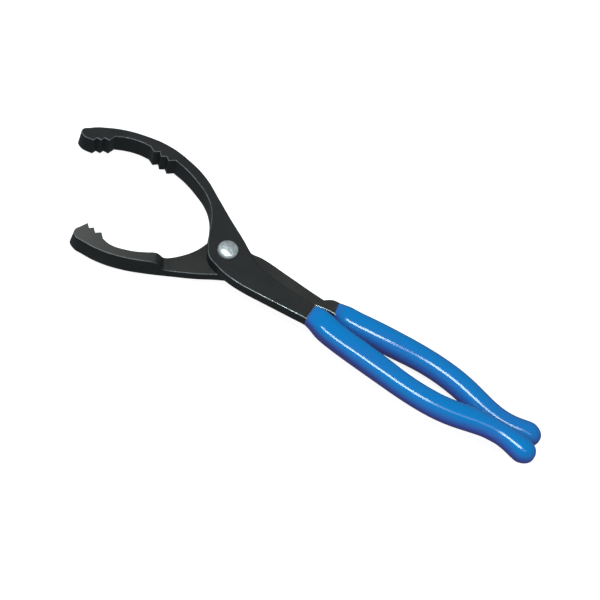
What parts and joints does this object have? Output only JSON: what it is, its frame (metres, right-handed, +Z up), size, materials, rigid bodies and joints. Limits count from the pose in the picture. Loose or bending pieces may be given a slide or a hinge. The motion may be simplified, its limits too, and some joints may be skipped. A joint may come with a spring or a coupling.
{
  "type": "oil filter wrench",
  "caption": "Plier-type oil filter wrench: long toothed curved jaws, riveted lap joint, bowed handles in dipped vinyl grips.",
  "frame": {"origin": "on the rivet's axis, in the flat plane of the jaws' undersides, where the rivet's tail is peened flush", "axes": "+X along the handles towards their ends, +Y towards the back of the long hooked jaw, +Z up through the rivet's domed head"},
  "size_m": [0.3085, 0.0791, 0.0209],
  "materials": {
    "black_steel": "black oxide on forged steel, satin, with worn bright edges",
    "bright_rivet": "bright zinc plate",
    "blue_vinyl": "glossy dipped vinyl"
  },
  "bodies": {
    "lower_lever": {"lower_jaw_lever": "black_steel", "pivot_rivet": "bright_rivet", "lower_lever_grip": "blue_vinyl"},
    "upper_lever": {"upper_jaw_lever": "black_steel", "upper_lever_grip": "blue_vinyl"}
  },
  "joints": [
    {"name": "jaw_pivot", "type": "hinge", "parent": "lower_lever", "child": "upper_lever", "pos_m": [0, 0, 0.0069], "axis": [0, 0, -1], "range_deg": [0, 37]}
  ]
}
